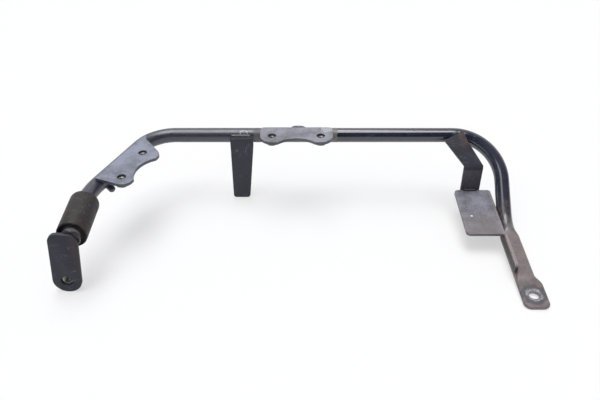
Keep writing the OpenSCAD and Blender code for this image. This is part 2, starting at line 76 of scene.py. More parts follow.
class Board:
    """Places the nodes of one shader tree and joins them."""

    def __init__(self, tree: bpy.types.NodeTree) -> None:
        """Keeps the tree that the nodes go into."""
        self.tree = tree

    def feed(self, socket: bpy.types.NodeSocket, value: object) -> None:
        """Gives a socket a link or a plain value.

        Args:
            socket: the input to feed.
            value: another node's output, or the value to write.
        """
        if isinstance(value, bpy.types.NodeSocket):
            self.tree.links.new(value, socket)
        else:
            socket.default_value = value

    def add(self, kind: str, feeds: dict | None = None, **settings: object) -> bpy.types.Node:
        """Adds a node.

        Args:
            kind: the node's type name.
            feeds: inputs by name or number, and what goes into each.
            settings: the node's own properties.

        Returns:
            The new node.
        """
        node = self.tree.nodes.new(kind)
        for label, value in settings.items():
            setattr(node, label, value)
        for label, value in (feeds or {}).items():
            self.feed(node.inputs[label], value)
        return node

    def math(self, operation: str, *values: object, clamp: bool = False) -> bpy.types.NodeSocket:
        """Adds a Math node and returns its output."""
        feeds = dict(enumerate(values))
        return self.add("ShaderNodeMath", feeds, operation=operation, use_clamp=clamp).outputs[0]

    def vector(self, operation: str, *values: object) -> bpy.types.Node:
        """Adds a Vector Math node and returns the node."""
        return self.add("ShaderNodeVectorMath", dict(enumerate(values)), operation=operation)

    def blend(self, factor: object, low: object, high: object) -> bpy.types.NodeSocket:
        """Mixes two colours and returns the mixed colour."""
        node = self.add("ShaderNodeMix", data_type="RGBA")
        self.feed(node.inputs[0], factor)
        self.feed(node.inputs[6], low)
        self.feed(node.inputs[7], high)
        return node.outputs[2]

    def step(self, value: object, low: object, high: object) -> bpy.types.NodeSocket:
        """Rises smoothly from 0 at low to 1 at high and returns the value."""
        node = self.add("ShaderNodeMapRange", interpolation_type="SMOOTHSTEP")
        for label, entry in (("Value", value), ("From Min", low), ("From Max", high)):
            self.feed(node.inputs[label], entry)
        return node.outputs["Result"]

    def grain(self, place: object, scale: object, detail: float = 3.0, rough: float = 0.55) -> bpy.types.NodeSocket:
        """Adds a noise texture and returns its value."""
        feeds = {"Vector": place, "Scale": scale, "Detail": detail, "Roughness": rough}
        return self.add("ShaderNodeTexNoise", feeds).outputs["Fac"]

    def body_place(self) -> bpy.types.NodeSocket:
        """Returns the place on the object, in metres of the part's own frame."""
        return self.add("ShaderNodeTexCoord").outputs["Object"]


# Shader groups shared by the finishes


@dataclass
class GroupShelf:
    """Builds each shared shader group once and hands it out."""

    made: dict[str, bpy.types.NodeTree]

    def fresh(self, name: str, inputs: dict[str, object], outputs: Sequence[str]) -> tuple[Board, dict, bpy.types.Node]:
        """Starts a group with named sockets.

        Args:
            name: the group's name.
            inputs: the input names with their first values.
            outputs: the output names; one that ends in Colour carries a colour.

        Returns:
            The board, the input sockets by name and the output node.
        """
        tree = bpy.data.node_groups.new(name, "ShaderNodeTree")
        for label, value in inputs.items():
            kind = "NodeSocketFloat" if isinstance(value, float) else "NodeSocketVector"
            socket = tree.interface.new_socket(label, in_out="INPUT", socket_type=kind)
            socket.default_value = value
        for label in outputs:
            kind = "NodeSocketColor" if label.endswith("Colour") else "NodeSocketFloat"
            tree.interface.new_socket(label, in_out="OUTPUT", socket_type=kind)
        board = Board(tree)
        source = board.add("NodeGroupInput")
        sink = board.add("NodeGroupOutput")
        self.made[name] = tree
        return board, {socket.name: socket for socket in source.outputs if socket.name}, sink

    def place(self, board: Board, name: str, feeds: dict) -> bpy.types.Node:
        """Puts a shared group into a material.

        Args:
            board: the material's board.
            name: the group's name, which is also the name of the method that builds it.
            feeds: the group's inputs.

        Returns:
            The group node.
        """
        if name not in self.made:
            getattr(self, name)()
        node = board.add("ShaderNodeGroup", node_tree=self.made[name])
        for label, value in feeds.items():
            board.feed(node.inputs[label], value)
        return node

    def settled_dust(self) -> None:
        """Dust that lies on faces turned upwards, in soft patches."""
        board, given, sink = self.fresh("settled_dust", {"Amount": 0.5, "Scale": 60.0}, ["Mask"])
        normal = board.add("ShaderNodeSeparateXYZ", {0: board.add("ShaderNodeNewGeometry").outputs["Normal"]})
        facing = board.step(normal.outputs["Z"], 0.05, 0.92)
        place = board.body_place()
        patches = board.step(board.grain(place, given["Scale"], 5.0, 0.6), 0.32, 0.72)
        specks = board.step(board.grain(place, board.math("MULTIPLY", given["Scale"], 14.0), 2.0), 0.5, 0.68)
        cover = board.math("ADD", board.math("MULTIPLY", patches, 0.75), board.math("MULTIPLY", specks, 0.35))
        shade = board.math("MULTIPLY", board.math("ADD", facing, 0.07), board.math("ADD", cover, 0.3))
        board.feed(sink.inputs["Mask"], board.math("MULTIPLY", shade, given["Amount"], clamp=True))

    def worn_edges(self) -> None:
        """Bare or pale rims where corners rub, broken up by noise."""
        board, given, sink = self.fresh("worn_edges", {"Radius": 0.0006, "Amount": 0.6, "Scale": 350.0}, ["Mask"])
        round_off = board.add("ShaderNodeBevel", {"Radius": given["Radius"]}, samples=6)
        flat = board.add("ShaderNodeNewGeometry").outputs["Normal"]
        same = board.vector("DOT_PRODUCT", round_off.outputs["Normal"], flat).outputs["Value"]
        rim = board.step(board.math("SUBTRACT", 1.0, same), 0.004, 0.11)
        patches = board.step(board.grain(board.body_place(), given["Scale"], 4.0, 0.65), 0.36, 0.62)
        rub = board.math("MULTIPLY", rim, board.math("ADD", board.math("MULTIPLY", patches, 0.8), 0.2))
        board.feed(sink.inputs["Mask"], board.math("MULTIPLY", rub, given["Amount"], clamp=True))

    def fine_scratches(self) -> None:
        """Thin wandering scratches along one direction, in sparse patches."""
        inputs = {"Stretch": (40.0, 420.0, 420.0), "Amount": 0.5, "Width": 0.012}
        board, given, sink = self.fresh("fine_scratches", inputs, ["Mask"])
        place = board.body_place()
        spread = board.vector("MULTIPLY", place, given["Stretch"]).outputs[0]
        lines = board.grain(spread, 1.0, 1.5, 0.4)
        off = board.math("ABSOLUTE", board.math("SUBTRACT", lines, 0.5))
        line = board.math("SUBTRACT", 1.0, board.step(off, 0.0, given["Width"]))
        sparse = board.step(board.grain(place, 95.0, 2.0), 0.5, 0.64)
        drawn = board.math("MULTIPLY", line, sparse)
        board.feed(sink.inputs["Mask"], board.math("MULTIPLY", drawn, given["Amount"], clamp=True))

    def rust_bloom(self) -> None:
        """Brown rust that breaks through in ragged patches."""
        inputs = {"Coverage": 0.3, "Scale": 120.0}
        board, given, sink = self.fresh("rust_bloom", inputs, ["Mask", "Rust Colour"])
        place = board.body_place()
        ragged = board.grain(place, given["Scale"], 8.0, 0.68)
        low = board.math("SUBTRACT", 0.78, board.math("MULTIPLY", given["Coverage"], 0.5))
        high = board.math("ADD", low, 0.1)
        board.feed(sink.inputs["Mask"], board.step(ragged, low, high))
        tone = board.grain(place, board.math("MULTIPLY", given["Scale"], 3.0), 4.0)
        ramp = board.add("ShaderNodeValToRGB", {"Fac": tone})
        ramp.color_ramp.elements[0].position = 0.3
        ramp.color_ramp.elements[0].color = (0.022, 0.014, 0.012, 1)
        ramp.color_ramp.elements[1].position = 0.72
        ramp.color_ramp.elements[1].color = (0.105, 0.062, 0.046, 1)
        board.feed(sink.inputs["Rust Colour"], ramp.outputs["Color"])

    def soft_zone(self) -> None:
        """A soft-edged box in the part's frame, 1 inside and 0 outside."""
        inputs = {"Low": (0.0, 0.0, 0.0), "High": (1.0, 1.0, 1.0), "Softness": 0.002, "Raggedness": 0.0}
        board, given, sink = self.fresh("soft_zone", inputs, ["Mask"])
        place = board.body_place()
        wander = board.math("SUBTRACT", board.grain(place, 240.0, 3.0), 0.5)
        shift = board.math("MULTIPLY", wander, given["Raggedness"])
        moved = board.add("ShaderNodeSeparateXYZ", {0: board.vector("ADD", place, shift).outputs[0]})
        low = board.add("ShaderNodeSeparateXYZ", {0: given["Low"]})
        high = board.add("ShaderNodeSeparateXYZ", {0: given["High"]})
        mask = 1.0
        for axis in "XYZ":
            rise = board.step(moved.outputs[axis], board.math("SUBTRACT", low.outputs[axis], given["Softness"]),
                              board.math("ADD", low.outputs[axis], given["Softness"]))
            fall = board.step(moved.outputs[axis], board.math("SUBTRACT", high.outputs[axis], given["Softness"]),
                              board.math("ADD", high.outputs[axis], given["Softness"]))
            mask = board.math("MULTIPLY", mask, board.math("SUBTRACT", rise, fall, clamp=True))
        board.feed(sink.inputs["Mask"], mask)

    def soft_spot(self) -> None:
        """A soft-edged ring or disc round a point of the part's frame."""
        inputs = {"Centre": (0.0, 0.0, 0.0), "Inner": 0.0, "Outer": 0.01, "Softness": 0.001, "Raggedness": 0.0}
        board, given, sink = self.fresh("soft_spot", inputs, ["Mask"])
        place = board.body_place()
        away = board.vector("DISTANCE", place, given["Centre"]).outputs["Value"]
        wander = board.math("SUBTRACT", board.grain(place, 260.0, 3.0), 0.5)
        away = board.math("ADD", away, board.math("MULTIPLY", wander, given["Raggedness"]))
        inside = board.step(away, board.math("SUBTRACT", given["Inner"], given["Softness"]), given["Inner"])
        beyond = board.step(away, board.math("SUBTRACT", given["Outer"], given["Softness"]), given["Outer"])
        board.feed(sink.inputs["Mask"], board.math("SUBTRACT", inside, beyond, clamp=True))

    def paint_skin(self) -> None:
        """Orange peel, runs and small pits of sprayed paint, as a height."""
        board, given, sink = self.fresh("paint_skin", {"Peel": 0.3, "Pits": 0.3}, ["Height"])
        place = board.body_place()
        peel = board.math("MULTIPLY", board.grain(place, 260.0, 2.0), given["Peel"])
        pits = board.step(board.grain(place, 900.0, 2.0), 0.64, 0.8)
        sunk = board.math("MULTIPLY", pits, given["Pits"])
        board.feed(sink.inputs["Height"], board.math("SUBTRACT", peel, sunk))


# Marks and finishes


@dataclass(frozen=True)
class Mark:
    """A place on a finish with its own tone, such as a burnt band or a washer's print. Sizes are in millimetres.

    Attributes:
        kind: a box zone or a round spot.
        low: the box's low corner, or the spot's centre.
        high: the box's high corner; unused for a spot.
        reach: the inner and outer radius of a spot.
        soft: the width of the soft edge.
        ragged: how far noise moves the edge.
        colour: the mark's colour.
        strength: how much of the colour shows.
        roughness: the roughness inside the mark.
        broken: how much noise breaks the mark up.
        grain: the scale of that noise.
    """

    kind: Mask
    low: tuple[float, float, float]
    high: tuple[float, float, float] = (0.0, 0.0, 0.0)
    reach: tuple[float, float] = (0.0, 1.0)
    soft: float = 1.0
    ragged: float = 0.0
    colour: Colour = (0.2, 0.2, 0.2)
    strength: float = 1.0
    roughness: float = 0.4
    broken: float = 0.0
    grain: float = 150.0

    def mask(self, board: Board, shelf: GroupShelf) -> bpy.types.NodeSocket:
        """Returns the mark's mask, scaled by its strength."""
        edges = {"Softness": self.soft * MM, "Raggedness": self.ragged * MM}
        if self.kind is Mask.ZONE:
            corners = {"Low": Vector(self.low) * MM, "High": Vector(self.high) * MM}
            node = shelf.place(board, "soft_zone", edges | corners)
        else:
            rings = {"Centre": Vector(self.low) * MM, "Inner": self.reach[0] * MM, "Outer": self.reach[1] * MM}
            node = shelf.place(board, "soft_spot", edges | rings)
        mask = board.math("MULTIPLY", node.outputs["Mask"], self.strength)
        if not self.broken:
            return mask
        holes = board.step(board.grain(board.body_place(), self.grain, 6.0, 0.65), 0.36, 0.6)
        kept = board.math("ADD", 1.0 - self.broken, board.math("MULTIPLY", holes, self.broken))
        return board.math("MULTIPLY", mask, kept)


@dataclass(frozen=True)
class PaintedSteel:
    """Semi-gloss black paint on steel that has been ridden in all weathers.

    Attributes:
        name: the material's name.
        colour: the paint's own colour.
        roughness: the paint's own roughness.
        dust: how much pale dust lies on it.
        wear: how bare the edges are.
        scratches: how visible the scratches are.
        rust: how much rust breaks through.
        coat: the weight of the glossy top coat.
        ior: the paint's index of refraction.
        peel: the height of the orange peel.
        pits: the depth of the small pits.
        stretch: how the scratches are drawn out along X, Y and Z.
        dust_colour: the dust's colour.
        marks: places with a tone of their own.
    """

    name: str
    colour: Colour = (0.007, 0.009, 0.017)
    roughness: float = 0.19
    dust: float = 0.12
    wear: float = 0.3
    scratches: float = 0.4
    rust: float = 0.05
    coat: float = 0.35
    ior: float = 1.5
    peel: float = 0.15
    pits: float = 0.04
    stretch: tuple[float, float, float] = (40.0, 420.0, 420.0)
    dust_colour: Colour = (0.27, 0.28, 0.32)
    marks: tuple[Mark, ...] = ()

    def make(self, shelf: GroupShelf) -> bpy.types.Material:
        """Builds the material.

        Args:
            shelf: the shared shader groups.

        Returns:
            The finished material.
        """
        material = bpy.data.materials.new(self.name)
        material.use_nodes = True
        material.node_tree.nodes.clear()
        board = Board(material.node_tree)
        place = board.body_place()
        mottle = board.step(board.grain(place, 55.0, 5.0, 0.6), 0.3, 0.75)
        lighter = tuple(1.7 * channel + 0.004 for channel in self.colour)
        colour = board.blend(mottle, rgba(self.colour), rgba(lighter))
        rough = board.math("ADD", self.roughness - 0.05, board.math("MULTIPLY", mottle, 0.12))
        coat = board.math("SUBTRACT", self.coat, board.math("MULTIPLY", mottle, 0.3 * self.coat))
        layers = [
            (shelf.place(board, "settled_dust", {"Amount": self.dust}).outputs["Mask"], self.dust_colour, 0.7),
            (shelf.place(board, "fine_scratches", {"Amount": self.scratches, "Stretch": self.stretch}).outputs["Mask"],
             (0.3, 0.3, 0.32), 0.45),
            (shelf.place(board, "worn_edges", {"Amount": self.wear}).outputs["Mask"], (0.3, 0.29, 0.29), 0.42),
        ]
        for mask, tone, dullness in layers:
            colour = board.blend(mask, colour, rgba(tone))
            rough = board.add("ShaderNodeMix", {0: mask, 2: rough, 3: dullness}).outputs[0]
            coat = board.math("MULTIPLY", coat, board.math("SUBTRACT", 1.0, mask))
        bloom = shelf.place(board, "rust_bloom", {"Coverage": self.rust})
        colour = board.blend(bloom.outputs["Mask"], colour, bloom.outputs["Rust Colour"])
        rough = board.add("ShaderNodeMix", {0: bloom.outputs["Mask"], 2: rough, 3: 0.85}).outputs[0]
        coat = board.math("MULTIPLY", coat, board.math("SUBTRACT", 1.0, bloom.outputs["Mask"]))
        for mark in self.marks:
            mask = mark.mask(board, shelf)
            colour = board.blend(mask, colour, rgba(mark.colour))
            rough = board.add("ShaderNodeMix", {0: mask, 2: rough, 3: mark.roughness}).outputs[0]
            coat = board.math("MULTIPLY", coat, board.math("SUBTRACT", 1.0, mask))
        skin = shelf.place(board, "paint_skin", {"Peel": self.peel, "Pits": self.pits})
        bump = board.add("ShaderNodeBump", {"Strength": 0.35, "Distance": 0.0002, "Height": skin.outputs["Height"]})
        shader = board.add("ShaderNodeBsdfPrincipled", {"Base Color": colour, "Roughness": rough,
                                                        "Coat Weight": coat, "Normal": bump.outputs["Normal"]})
        shader.inputs["Coat Roughness"].default_value = 0.08
        shader.inputs["IOR"].default_value = self.ior
        output = board.add("ShaderNodeOutputMaterial")
        board.feed(output.inputs["Surface"], shader.outputs["BSDF"])
        return material


@dataclass(frozen=True)
class DarkRubber:
    """Black rubber with a grey bloom and fine mould lines."""

    name: str = "bush_rubber"
    colour: Colour = (0.010, 0.009, 0.010)

    def make(self, shelf: GroupShelf) -> bpy.types.Material:
        """Builds the material and returns it."""
        material = bpy.data.materials.new(self.name)
        material.use_nodes = True
        material.node_tree.nodes.clear()
        board = Board(material.node_tree)
        place = board.body_place()
        dust = shelf.place(board, "settled_dust", {"Amount": 0.25, "Scale": 130.0}).outputs["Mask"]
        colour = board.blend(dust, rgba(self.colour), (0.16, 0.15, 0.15, 1))
        grain = board.grain(place, 900.0, 5.0, 0.7)
        rough = board.math("ADD", 0.62, board.math("MULTIPLY", grain, 0.3))
        bump = board.add("ShaderNodeBump", {"Strength": 0.4, "Distance": 0.0002, "Height": grain})
        shader = board.add("ShaderNodeBsdfPrincipled", {"Base Color": colour, "Roughness": rough,
                                                        "Normal": bump.outputs["Normal"]})
        output = board.add("ShaderNodeOutputMaterial")
        board.feed(output.inputs["Surface"], shader.outputs["BSDF"])
        return material


@dataclass(frozen=True)
class DullSteel:
    """Plated steel that has gone grey, with brown stains."""

    name: str
    colour: Colour = (0.26, 0.26, 0.27)
    roughness: float = 0.42
    rust: float = 0.35

    def make(self, shelf: GroupShelf) -> bpy.types.Material:
        """Builds the material and returns it."""
        material = bpy.data.materials.new(self.name)
        material.use_nodes = True
        material.node_tree.nodes.clear()
        board = Board(material.node_tree)
        place = board.body_place()
        tone = board.grain(place, 180.0, 6.0, 0.65)
        colour = board.blend(board.step(tone, 0.35, 0.7), rgba(self.colour), (0.11, 0.105, 0.105, 1))
        bloom = shelf.place(board, "rust_bloom", {"Coverage": self.rust, "Scale": 260.0})
        colour = board.blend(bloom.outputs["Mask"], colour, bloom.outputs["Rust Colour"])
        metal = board.math("SUBTRACT", 0.85, board.math("MULTIPLY", bloom.outputs["Mask"], 0.8))
        rough = board.math("ADD", self.roughness, board.math("MULTIPLY", tone, 0.25))
        bump = board.add("ShaderNodeBump", {"Strength": 0.3, "Distance": 0.0002, "Height": tone})
        shader = board.add("ShaderNodeBsdfPrincipled", {"Base Color": colour, "Roughness": rough,
                                                        "Metallic": metal, "Normal": bump.outputs["Normal"]})
        output = board.add("ShaderNodeOutputMaterial")
        board.feed(output.inputs["Surface"], shader.outputs["BSDF"])
        return material


# Mesh tools


def finished_piece(name: str, form: bmesh.types.BMesh, sharp: float = 35.0) -> bpy.types.Object:
    """Turns a form into an object with smooth faces and sharp corners.

    Args:
        name: the piece's name.
        form: the form, which is freed.
        sharp: edges with a larger angle in degrees stay sharp.

    Returns:
        The new object, in the scene.
    """
    bmesh.ops.recalc_face_normals(form, faces=form.faces)
    mesh = bpy.data.meshes.new(name)
    form.to_mesh(mesh)
    form.free()
    mesh.shade_smooth()
    mesh.set_sharp_from_angle(angle=math.radians(sharp))
    piece = bpy.data.objects.new(name, mesh)
    bpy.context.scene.collection.objects.link(piece)
    return piece


def loft(rings: Sequence[Sequence[Vector]], join: Join = Join.CAPPED) -> bmesh.types.BMesh:
    """Joins rings of points into a closed skin.

    Args:
        rings: rings with the same number of points, in metres.
        join: whether the ends are capped or the last ring meets the first.

    Returns:
        The form.
    """
    form = bmesh.new()
    rows = [[form.verts.new(point) for point in ring] for ring in rings]
    count = len(rows[0])
    pairs = list(zip(rows, rows[1:]))
    if join is Join.LOOPED:
        pairs.append((rows[-1], rows[0]))
    for near, far in pairs:
        for k in range(count):
            form.faces.new((near[k], near[(k + 1) % count], far[(k + 1) % count], far[k]))
    if join is Join.CAPPED:
        form.faces.new(rows[0])
        form.faces.new(list(reversed(rows[-1])))
    return form


def turned(profile: Sequence[tuple[float, float]], place: Matrix, segments: int = 96) -> bmesh.types.BMesh:
    """Turns a closed profile round the local Z axis.

    Args:
        profile: radius and height of each point in millimetres, in order round the profile.
        place: the local frame, in millimetres.
        segments: the number of steps round the axis.

    Returns:
        The form.
    """
    rings = []
    for radius, height in profile:
        ring = []
        for k in range(segments):
            angle = 2 * math.pi * k / segments
            ring.append(place @ Vector((radius * math.cos(angle), radius * math.sin(angle), height)) * MM)
        rings.append(ring)
    return loft(rings, Join.LOOPED)


def arc(centre: tuple[float, float], radius: float, start: float, end: float, steps: int = 6) -> list[tuple[float, float]]:
    """Returns points on an arc of a profile, with angles in degrees."""
    points = []
    for k in range(steps + 1):
        angle = math.radians(start + (end - start) * k / steps)
        points.append((centre[0] + radius * math.cos(angle), centre[1] + radius * math.sin(angle)))
    return points


def with_modifiers(piece: bpy.types.Object) -> None:
    """Replaces a piece's mesh by what its modifiers make of it."""
    graph = bpy.context.evaluated_depsgraph_get()
    mesh = bpy.data.meshes.new_from_object(piece.evaluated_get(graph))
    piece.modifiers.clear()
    piece.data = mesh


@dataclass
class Bench:
    """Gives every finished piece its body and its material."""

    shelf: GroupShelf
    materials: dict[str, bpy.types.Material]

    def material(self, finish: object) -> bpy.types.Material:
        """Returns a finish's material, which is built once."""
        if finish.name not in self.materials:
            self.materials[finish.name] = finish.make(self.shelf)
        return self.materials[finish.name]

    def finish(self, piece: bpy.types.Object, finish: object, slot: str, stands_for: Sequence[str] = ()) -> None:
        """Dresses a piece and ties it to the bracket.

        Args:
            piece: the piece.
            finish: the finish to give it.
            slot: the name of a material slot; not used.
            stands_for: the CAD nodes that it replaces.
        """
        piece.data.materials.clear()
        piece.data.materials.append(self.material(finish))
        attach(piece, BODY)
        if stands_for:
            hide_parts(*stands_for)
        LOG.info("%s: %d faces", piece.name, len(piece.data.polygons))


# The tube


@dataclass
class CentreLine:
    """Walks along the middle of the tube and keeps a frame for every ring.

    Attributes:
        place: the frame at the walk's end, with X along the tube, in millimetres.
        roll: the angle by which the frame has turned about the tube, in degrees.
        stops: the frames and rolls passed so far.
    """

    place: Matrix
    roll: float
    stops: list[tuple[Matrix, float]]

    def forward(self, length: float, pace: float = 12.0) -> None:
        """Walks straight on for a length in millimetres."""
        steps = max(1, round(length / pace))
        for _ in range(steps):
            self.place = self.place @ Matrix.Translation((length / steps, 0, 0))
            self.stops.append((self.place.copy(), self.roll))

    def bend(self, radius: float, angle: float, pace: float = 3.0) -> None:
        """Walks round a bend towards local -Y, with the angle in degrees."""
        steps = max(1, round(angle / pace))
        step = math.radians(angle / steps)
        arc_step = Matrix.Translation((radius * math.sin(step), -radius * (1 - math.cos(step)), 0))
        for _ in range(steps):
            self.place = self.place @ arc_step @ Matrix.Rotation(-step, 4, "Z")
            self.stops.append((self.place.copy(), self.roll))

    def tilt(self, angle: float) -> None:
        """Turns the frame about the tube by an angle in degrees."""
        self.place = self.place @ Matrix.Rotation(math.radians(angle), 4, "X")
        self.roll += angle


@dataclass
class BentTube:
    """The bent tube with its crushed end. Sizes are in millimetres and degrees."""

    radius: float = 7.0
    bar_y: float = 16.5
    bar_z: float = -6.5
    bar_left: float = 117.0
    bar_right: float = 152.0
    left_radius: float = 35.0
    left_angle: float = 67.0
    left_leg: float = 68.0
    left_end_radius: float = 60.0
    sleeve_entry: float = 7.0
    right_radius: float = 46.0
    right_tilt: float = 40.0
    right_leg: float = 32.0
    level_radius: float = 30.0
    oval: tuple[float, float] = (17.6, 7.7)
    oval_len: float = 52.0
    change_len: float = 10.0
    flat: tuple[float, float] = (22.2, 3.4)
    flat_len: float = 27.5
    flat_shift: float = 2.1
    hole_d: float = 9.0
    hole_edge: float = 14.3
    points: int = 72

    def start(self) -> Matrix:
        """Returns the frame on the bar's axis above the mounting centre."""
        return Matrix.Translation((0, self.bar_y, self.bar_z))

    def left_walk(self) -> CentreLine:
        """Returns the walk from the mounting centre to the bush."""
        walk = CentreLine(self.start() @ Matrix.Scale(-1, 4, (1, 0, 0)), 0.0, [])
        walk.forward(self.bar_left)
        walk.bend(self.left_radius, self.left_angle)
        walk.forward(self.left_leg)
        walk.bend(self.left_end_radius, 90 - self.left_angle)
        walk.forward(self.sleeve_entry)
        return walk

    def right_walk(self) -> CentreLine:
        """Returns the walk from the mounting centre to the crushed end."""
        walk = CentreLine(self.start(), 0.0, [])
        walk.forward(self.bar_right)
        walk.tilt(self.right_tilt)
        walk.bend(self.right_radius, 90)
        walk.forward(self.right_leg)
        walk.tilt(-90)
        walk.bend(self.level_radius, self.right_tilt)
        return walk

    def level_frame(self) -> Matrix:
        """Returns the frame at the start of the crushed end, with X towards the viewer."""
        lean = math.radians(self.right_tilt)
        run = self.right_radius + self.right_leg
        front = run * math.cos(lean) + self.level_radius * math.sin(lean)
        drop = run * math.sin(lean) + self.level_radius * (1 - math.cos(lean))
        corner = (self.bar_right + self.right_radius, self.bar_y - front, self.bar_z - drop)
        return Matrix.Translation(corner) @ Matrix.Rotation(-math.pi / 2, 4, "Z")

    def round_ring(self, place: Matrix, roll: float) -> list[Vector]:
        """Returns one round ring of points, in metres."""
        ring = []
        for k in range(self.points):
            angle = 2 * math.pi * k / self.points - math.radians(roll)
            ring.append(place @ Vector((0, self.radius * math.cos(angle), self.radius * math.sin(angle))) * MM)
        return ring

    def crushed_ring(self, along: float, width: float, height: float, shift: float, turn: float) -> list[Vector]:
        """Returns one round-ended ring of the crushed end, in metres."""
        place = self.level_frame()
        ring = []
        for k in range(self.points):
            angle = 2 * math.pi * k / self.points + turn
            side = math.copysign((width - height) / 2, math.cos(angle))
            across = shift + side + height / 2 * math.cos(angle)
            ring.append(place @ Vector((along, across, height / 2 * math.sin(angle))) * MM)
        return ring

    def crushed_rings(self, turn: float) -> list[list[Vector]]:
        """Returns the rings of the crushed end, from round to flat and round the tip."""
        steps = 10
        rings = []
        for k in range(1, steps + 1):
            ease = self.ease(k / steps)
            width = 2 * self.radius + (self.oval[0] - 2 * self.radius) * ease
            height = 2 * self.radius + (self.oval[1] - 2 * self.radius) * ease
            rings.append(self.crushed_ring(self.change_len * k / steps, width, height, 0, turn))
        start = self.change_len + self.oval_len
        for k in range(steps + 1):
            ease = self.ease(k / steps)
            width = self.oval[0] + (self.flat[0] - self.oval[0]) * ease
            height = self.oval[1] + (self.flat[1] - self.oval[1]) * ease
            along = start + self.change_len * k / steps
            rings.append(self.crushed_ring(along, width, height, self.flat_shift * ease, turn))
        tip = start + self.change_len + self.flat_len
        corner = self.flat[0] / 4
        for k in range(13):
            angle = math.radians(90 * k / 12)
            width = self.flat[0] - 2 * corner * (1 - math.cos(angle))
            along = tip - corner + corner * math.sin(angle)
            height = self.flat[1] - 0.5 * max(0.0, k - 9) / 3
            rings.append(self.crushed_ring(along, width, height, self.flat_shift, turn))
        return rings

    @staticmethod
    def ease(share: float) -> float:
        """Returns an S-shaped share between 0 and 1."""
        return share * share * (3 - 2 * share)

    def hole_place(self) -> Vector:
        """Returns the middle of the bolt hole, in millimetres."""
        along = 2 * self.change_len + self.oval_len + self.flat_len - self.hole_edge
        return self.level_frame() @ Vector((along, self.flat_shift, 0))

    def build(self, bench: Bench, finish: PaintedSteel) -> bpy.types.Object:
        """Builds the tube and dresses it.

        Args:
            bench: the finishing bench.
            finish: the tube's paint.

        Returns:
            The tube.
        """
        left = self.left_walk()
        right = self.right_walk()
        rings = [self.round_ring(*stop) for stop in reversed(left.stops)]
        rings += [self.round_ring(*stop) for stop in right.stops]
        place, roll = right.stops[-1]
        outward = place.to_3x3() @ Vector((0, math.cos(math.radians(-roll)), math.sin(math.radians(-roll))))
        level = self.level_frame().to_3x3().inverted() @ outward
        rings += self.crushed_rings(math.atan2(level.z, level.y))
        tube = finished_piece("bent_tube", loft(rings), 50.0)
        self.drill(tube)
        bench.finish(tube, finish, "tube_paint", ["main_tube"])
        return tube

    def drill(self, tube: bpy.types.Object) -> None:
        """Drills the bolt hole through the flat end, with a small chamfer."""
        middle = self.hole_place()
        radius = self.hole_d / 2
        half = self.flat[1] / 2
        lip = 0.35
        rings = []
        for height, size in ((-half - 1, radius + lip + 1), (-half + lip, radius), (half - lip, radius), (half + 1, radius + lip + 1)):
            ring = []
            for k in range(64):
                angle = 2 * math.pi * k / 64
                spot = middle + Vector((size * math.cos(angle), size * math.sin(angle), height))
                ring.append(spot * MM)
            rings.append(ring)
        cutter = finished_piece("hole_cutter", loft(rings))
        cut = tube.modifiers.new("hole", "BOOLEAN")
        cut.object = cutter
        cut.operation = "DIFFERENCE"
        cut.solver = "EXACT"
        with_modifiers(tube)
        bpy.data.objects.remove(cutter)
        tube.data.shade_smooth()
        tube.data.set_sharp_from_angle(angle=math.radians(35))


# Plates


@dataclass
class PlateWork:
    """Sheet parts cut by the press, whose edges are rounded a little. Sizes are in millimetres."""

    edge: float = 0.35

    def build(self, bench: Bench, node: str, finish: PaintedSteel, slot: str) -> bpy.types.Object:
        """Rounds the edges of a sheet part and dresses it.

        Args:
            bench: the finishing bench.
            node: the CAD node.
            finish: the plate's paint.
            slot: the name of a material slot, handed on to the bench.

        Returns:
            The piece that stands for the node.
        """
        form = bmesh.new()
        form.from_mesh(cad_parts[node].data)
        bmesh.ops.remove_doubles(form, verts=form.verts, dist=0.002 * MM)
        flat = math.radians(0.5)
        bmesh.ops.dissolve_limit(form, angle_limit=flat, verts=form.verts, edges=form.edges)
        piece = finished_piece(node + "_pressed", form, 25.0)
        rounding = piece.modifiers.new("edges", "BEVEL")
        rounding.width = self.edge * MM
        rounding.segments = 3
        rounding.limit_method = "ANGLE"
        rounding.angle_limit = math.radians(40)
        rounding.use_clamp_overlap = True
        with_modifiers(piece)
        piece.data.shade_smooth()
        piece.data.set_sharp_from_angle(angle=math.radians(38))
        bench.finish(piece, finish, slot, [node])
        return piece


# Weld nuts


